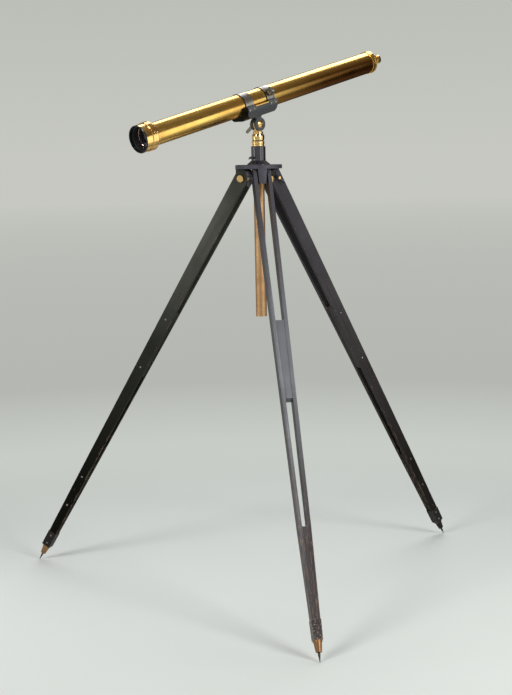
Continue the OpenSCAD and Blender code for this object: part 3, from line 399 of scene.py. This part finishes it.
def strap_metal(name, strap):
    """Nickel band with a dark front edge, and feet that carry the cradle's paint."""
    s = Shader(name)
    v = s.place(TUBE)
    far, up, along = s.split(v)
    corners = in_tube_frame(strap)
    front = min(c.z for c in corners)
    band = min(Vector((c.x, c.y)).length for c in corners)
    edge = s.math("LESS_THAN", along, front + 0.0022)
    foot = s.spread(s.radius(far, up), band + 0.0028, band + 0.0034)
    cloudy = s.noise(v, 60.0, 5.0, 0.6)
    tone = s.mix(s.spread(cloudy, 0.4, 0.66), (0.36, 0.355, 0.34), (0.20, 0.17, 0.13))
    tone = s.mix(edge, tone, (0.03, 0.026, 0.022))
    s.color(s.mix(foot, tone, (0.060, 0.062, 0.066)))
    s.link(s.math("SUBTRACT", 1.0, foot), s.bsdf.inputs["Metallic"])
    s.rough(s.spread(cloudy, 0.3, 0.7, 0.26, 0.42))
    return s.mat


def glass(name, tone):
    """Clear glass with a faint tint and smears."""
    s = Shader(name)
    s.set(Roughness=0.02, IOR=1.52, Transmission_Weight=1.0, Coat_Weight=0.1, Coat_Roughness=0.02)
    smear = s.noise(s.coord, 40.0, 4.0, 0.6)
    s.color(s.mix(smear, tone, scaled(tone, 0.9)))
    return s.mat


POLISHED = brass("polished_brass").mat
TUBE_BRASS = tube_brass("tube_brass", (0.66, 0.36, 0.08), (0.13, 0.27), TUBE_BLACK_RADIUS,
                        dark_reflection_start=TUBE_PAINTED_DARK_FROM)
CELL_BRASS = tube_brass("cell_brass", (0.66, 0.36, 0.11), (0.12, 0.24), CELL_BLACK_RADIUS,
                        tone=(0.90, 0.60, 0.22), bore_ends=CELL_BLACK_ENDS, lip_ends=CELL_LIP_ENDS)
PILLAR_BRASS = brass("pillar_brass", (0.50, 0.31, 0.16), (0.32, 0.17, 0.08), (0.36, 0.58)).mat
MOUNT_BRASS = brass("mount_brass", (0.85, 0.58, 0.25), (0.52, 0.30, 0.11), (0.22, 0.38),
                    edge_shade=0.0011).mat
HEAD_BRASS = brass("head_brass", (0.88, 0.60, 0.27), (0.50, 0.27, 0.10), (0.10, 0.22),
                   edge_shade=0.0008).mat
COPPER = brass("ferrule_brass", (0.33, 0.18, 0.085), (0.15, 0.08, 0.04), (0.32, 0.55)).mat
# Painted shade: the cradle and its liner are black at their front end, further back underneath
CRADLE_SHADED_ENDS = min(c.z for c in in_tube_frame("cradle")) + CRADLE_END
LINER = brass("liner_brass").paint_shaded_end(CRADLE_SHADED_ENDS).mat
CRADLE = painted_iron("cradle_paint", (0.036, 0.038, 0.042), (0.20, 0.18, 0.15), 0.36, 0.8,
                      shaded_before=CRADLE_SHADED_ENDS)
# Each leg has its own painted light and shade: the front one a sheen mid-way and shaded sides, and
# more wear
WOOD = {
    "front": painted_wood("painted_wood_front", LEG["front"], (0.058, 0.056, 0.068),
                          (0.170, 0.175, 0.195), (0.038, 0.032, 0.035),
                          gloss=0.3, wear=1.0, side_shade=0.85),
    "right": painted_wood("painted_wood_right", LEG["right"], (0.064, 0.060, 0.068),
                          (0.046, 0.041, 0.042), (0.010, 0.008, 0.007),
                          gloss=0.06, wear=0.3, side_shade=0.0),
    "left": painted_wood("painted_wood_left", LEG["left"], (0.085, 0.087, 0.074),
                         (0.020, 0.021, 0.017), (0.004, 0.004, 0.003),
                         gloss=0.02, wear=0.3, side_shade=0.0),
}
IRON = painted_iron("painted_iron", (0.030, 0.029, 0.038))
GLOSSY_IRON = painted_iron("glossy_iron", (0.013, 0.011, 0.018), rough=0.17, gloss=0.9)
SHOE_IRON = painted_iron("shoe_iron", (0.011, 0.010, 0.009), (0.36, 0.27, 0.18), 0.34, 1.1, 0.003,
                         gloss=0.08)
FRONT_SHOE = painted_iron("front_shoe_iron", (0.026, 0.020, 0.022), (0.42, 0.34, 0.24), 0.34, 1.1,
                          0.004, gloss=0.2, flecks=0.59)
BLACK = painted_iron("black_metal", (0.010, 0.010, 0.011), (0.06, 0.05, 0.045), 0.45, 0.3)
NICKEL = bright_metal("nickel", (0.34, 0.33, 0.31), (0.16, 0.14, 0.11), 0.34)
STEEL = bright_metal("steel", (0.30, 0.29, 0.27), (0.13, 0.11, 0.09), 0.42)
SPIKE = bright_metal("spike_iron", (0.12, 0.11, 0.10), (0.06, 0.045, 0.035), 0.5, 0.9)
BRIGHT = bright_metal("bright_nickel", (0.55, 0.54, 0.51), (0.32, 0.29, 0.24), 0.35, 0.35)
LENS = glass("lens_glass", (0.88, 0.82, 0.96))

BY_SLOT = {
    "polished_brass": POLISHED,
    "dull_brass": PILLAR_BRASS,
    "hardware_brass": MOUNT_BRASS,
    "ferrule_brass": COPPER,
    "black_iron": IRON,
    "black_metal": BLACK,
    "cradle_paint": CRADLE,
    "nickel": NICKEL,
    "spike_iron": SPIKE,
    "steel": STEEL,
    "lens": LENS,
}
BY_NODE = {
    "main_tube": TUBE_BRASS,
    "objective_cell": CELL_BRASS,
    "pillar_collar": MOUNT_BRASS,
    "azimuth_head": HEAD_BRASS,
    "eye_cap": HEAD_BRASS,
    "cradle_liner": LINER,
    "socket": GLOSSY_IRON,
    "tilt_wing_nut": BRIGHT,
    "front_leg_shoe": FRONT_SHOE,
    "right_leg_shoe": SHOE_IRON,
    "left_leg_shoe": SHOE_IRON,
    "right_leg_ferrule": SHOE_IRON,
    "strap_front": strap_metal("front_strap", "strap_front"),
    "strap_rear": strap_metal("rear_strap", "strap_rear"),
}


def paint():
    """Gives each CAD node its material: its own, its leg's wood, or that of its record's slot."""
    slots = {row["node"]: row["material_slot"] for row in RECORD["subparts"]}
    for name, obj in nodes.items():
        if slots[name] == "black_wood":
            chosen = WOOD[name.split("_")[0]]
        else:
            chosen = BY_NODE.get(name) or BY_SLOT[slots[name]]
        obj.data.materials.clear()
        obj.data.materials.append(chosen)


def soften(obj, width, segments=2):
    """Rounds the edges of a CAD solid a little."""
    weld = obj.modifiers.new("joined_corners", "WELD")
    weld.merge_threshold = 1e-5
    bevel = obj.modifiers.new("soft_edges", "BEVEL")
    bevel.width = width
    bevel.segments = segments
    bevel.limit_method = "ANGLE"
    bevel.angle_limit = math.radians(40)
    bevel.harden_normals = True


paint()
for leg in LEG_NAMES:
    for part in ("left_rail", "right_rail", "mid_block", "foot_block"):
        soften(nodes[leg + "_leg_" + part], WOOD_ROUNDING)

# Camera, fitted to the feet, the leg hinges and the tube in the photograph. It stands REACH metres
# from the mast and HEIGHT above the floor, TURN round the mast from the front leg.
FOCAL_PX = 1485.94
IMAGE_HEIGHT_PX = 695
SENSOR_MM = 36.0
PITCH = math.radians(7.383)
ROLL = math.radians(-1.161)
PAN = -0.0041774
TURN = math.radians(-9.68)
REACH = 5.172
HEIGHT = 1.503


def photo_camera():
    """Camera at the photograph's viewing angle."""
    turn = Matrix.Rotation(TURN, 3, "Z")
    forward = turn @ Vector((math.sin(PAN) * math.cos(PITCH), math.cos(PAN) * math.cos(PITCH),
                             -math.sin(PITCH)))
    flat_right = forward.cross(Vector((0, 0, 1))).normalized()
    flat_up = flat_right.cross(forward)
    right = math.cos(ROLL) * flat_right + math.sin(ROLL) * flat_up
    up = -math.sin(ROLL) * flat_right + math.cos(ROLL) * flat_up
    eye = turn @ Vector((0, -REACH, HEIGHT)) + MAST

    camera = bpy.data.cameras.new("camera")
    camera.sensor_width = SENSOR_MM
    camera.lens = FOCAL_PX * SENSOR_MM / IMAGE_HEIGHT_PX
    camera.clip_start = 0.05
    camera.clip_end = 200.0
    made = bpy.data.objects.new("camera", camera)
    made.matrix_world = rows(right, up, -forward, eye)
    bpy.context.scene.collection.objects.link(made)
    return made


bpy.context.scene.camera = photo_camera()
bpy.context.scene.view_settings.view_transform = "Standard"


def area_light(name, position, target, size, watts, tone=(1, 1, 1)):
    """Lamp of that width and height in metres, which the camera doesn't see."""
    data = bpy.data.lights.new(name, "AREA")
    data.shape = "RECTANGLE"
    data.size, data.size_y = size
    data.energy = watts
    data.color = tone
    made = bpy.data.objects.new(name, data)
    made.location = position
    aim = (Vector(target) - Vector(position)).to_track_quat("-Z", "Y")
    made.rotation_euler = aim.to_euler()
    made.visible_camera = False
    bpy.context.scene.collection.objects.link(made)


# Two soft lamps, one over the floor behind, and three narrow cards for the metal's highlights
HEAD = (0.0, PIVOT.y, 1.5)
area_light("key_left", (-3.4, -2.6, 3.6), HEAD, (1.6, 1.6), 118, (1.0, 0.98, 0.95))
area_light("key_right", (2.6, -3.8, 3.3), HEAD, (1.6, 1.6), 125, (0.97, 0.99, 1.0))
area_light("top", (0.6, 1.95, 3.5), (0.6, 1.95, 0.0), (1.8, 1.8), 38)
area_light("card_right", (1.6, -0.65, 1.28), (0.0, -0.65, 1.28), (0.85, 1.55), 4.5,
           (1.0, 0.94, 0.84))
area_light("card_front", (1.3, -2.0, 1.15), (0.0, 0.2, 1.35), (0.4, 1.5), 6.0)
area_light("card_left", (-1.7, -0.05, 1.05), (0.0, 0.1, 1.05), (0.28, 1.3), 4.5)

# Backdrop by the height of the direction, from the horizon up to the dark studio ceiling
SKY = (
    (0.0, (0.565, 0.578, 0.533)),
    (0.10, (0.503, 0.521, 0.479)),
    (0.16, (0.42, 0.43, 0.39)),
    (0.32, (0.050, 0.040, 0.030)),
    (0.55, (0.13, 0.10, 0.07)),
    (0.80, (0.17, 0.14, 0.10)),
    (1.0, (0.34, 0.32, 0.28)),
)
FILL = (0.34, 0.35, 0.35)


def world():
    """Pale backdrop at the camera's height under a dark ceiling, and an even fill light."""
    made = bpy.data.worlds.new("studio")
    made.use_nodes = True
    tree = made.node_tree
    tree.nodes.clear()
    add = tree.nodes.new
    out = add("ShaderNodeOutputWorld")
    seen = add("ShaderNodeBackground")
    fill = add("ShaderNodeBackground")
    fill.inputs["Color"].default_value = FILL + (1,)
    coord = add("ShaderNodeTexCoord")
    apart = add("ShaderNodeSeparateXYZ")
    tree.links.new(coord.outputs["Generated"], apart.inputs[0])
    ramp = add("ShaderNodeValToRGB")
    ramp.color_ramp.elements.remove(ramp.color_ramp.elements[0])
    ramp.color_ramp.elements[0].position = SKY[0][0]
    ramp.color_ramp.elements[0].color = SKY[0][1] + (1,)
    for height, tone in SKY[1:]:
        ramp.color_ramp.elements.new(height).color = tone + (1,)
    tree.links.new(apart.outputs["Z"], ramp.inputs["Fac"])
    tree.links.new(ramp.outputs["Color"], seen.inputs["Color"])
    path = add("ShaderNodeLightPath")
    direct = path.outputs["Is Camera Ray"]
    for kind in ("Is Glossy Ray", "Is Transmission Ray"):
        either = add("ShaderNodeMath")
        either.operation = "MAXIMUM"
        tree.links.new(direct, either.inputs[0])
        tree.links.new(path.outputs[kind], either.inputs[1])
        direct = either.outputs[0]
    choose = add("ShaderNodeMixShader")
    tree.links.new(direct, choose.inputs["Fac"])
    tree.links.new(fill.outputs[0], choose.inputs[1])
    tree.links.new(seen.outputs[0], choose.inputs[2])
    tree.links.new(choose.outputs[0], out.inputs["Surface"])
    bpy.context.scene.world = made


world()

FLOOR_RADIUS = 90.0
# Gap between the floor and the feet's points
FLOOR_DROP = 0.0002
# Tones of the floor's glow: painted light near the tripod, and painted shade where it fades behind
# it
FLOOR_LIT = (0.60, 0.63, 0.59)
FLOOR_SHADED = (0.462, 0.479, 0.445)
# Distances in metres from the mast between which the real floor turns into a glow of painted
# light, that glow fades into painted shade, and it then turns into the backdrop's tone
PAINTED_GLOW_BETWEEN = (1.3, 2.6)
SHADED_BETWEEN = (2.2, 4.7)
BACKDROP_BETWEEN = (4.5, 45.0)


def floor():
    """Pale floor turning into a glow of painted light and shade, then the backdrop a few metres
    behind the tripod.
    """
    bpy.ops.mesh.primitive_circle_add(vertices=128, radius=FLOOR_RADIUS, fill_type="NGON",
                                      location=(0, MAST.y, -FLOOR_DROP))
    made = bpy.context.object
    made.name = "floor"
    s = Shader("floor")
    s.set(Roughness=0.7)
    reach = s.length(s.coord)
    s.color(s.mix(s.noise(s.coord, 1.2, 2.0), (0.655, 0.685, 0.66), (0.685, 0.71, 0.69)))
    # Painted light near the tripod, fading to painted shade behind it, then the backdrop's tone
    plain = s.mix(s.spread(reach, *SHADED_BETWEEN), FLOOR_LIT, FLOOR_SHADED)
    plain = s.mix(s.spread(reach, *BACKDROP_BETWEEN), plain, SKY[0][1])
    glow = s.add("ShaderNodeEmission")
    s.link(plain, glow.inputs["Color"])
    both = s.add("ShaderNodeMixShader")
    s.link(s.spread(reach, *PAINTED_GLOW_BETWEEN), both.inputs["Fac"])
    s.link(s.bsdf.outputs[0], both.inputs[1])
    s.link(glow.outputs[0], both.inputs[2])
    s.link(both.outputs[0], s.out.inputs[0])
    made.data.materials.append(s.mat)


floor()

# Screen: its distance from the mast, the heights of its rows of corners in metres, and its reach
# round the mast in degrees
FLAG_REACH = 2.0
FLAG_HEIGHTS = (0.0, 1.1, 2.3)
FLAG_ANGLES = range(-4, 85, 8)


def flag_mesh():
    """Curved screen round the mast, one row of faces over the other."""
    turns = [math.radians(a) for a in FLAG_ANGLES]
    points = [(FLAG_REACH * math.cos(a), MAST.y + FLAG_REACH * math.sin(a), height)
              for height in FLAG_HEIGHTS for a in turns]
    count = len(turns)
    faces = []
    for row in range(len(FLAG_HEIGHTS) - 1):
        for k in range(count - 1):
            at = row * count + k
            faces.append((at, at + 1, at + 1 + count, at + count))
    mesh = bpy.data.meshes.new("flag")
    mesh.from_pydata(points, [], faces)
    return mesh


def flag():
    """Dark glowing screen on the right, seen in the metal alone, like the lamps: a painted dark
    reflection.
    """
    s = Shader("flag")
    dark = s.spread(s.split(s.coord)[2], 0.7, 1.2)
    glow = s.add("ShaderNodeEmission")
    s.link(s.mix(dark, (0.15, 0.115, 0.08), (0.015, 0.010, 0.007)), glow.inputs["Color"])
    s.link(glow.outputs[0], s.out.inputs[0])
    made = bpy.data.objects.new("flag", flag_mesh())
    made.data.materials.append(s.mat)
    made.visible_camera = False
    made.visible_diffuse = False
    made.visible_transmission = False
    made.visible_shadow = False
    bpy.context.scene.collection.objects.link(made)


flag()
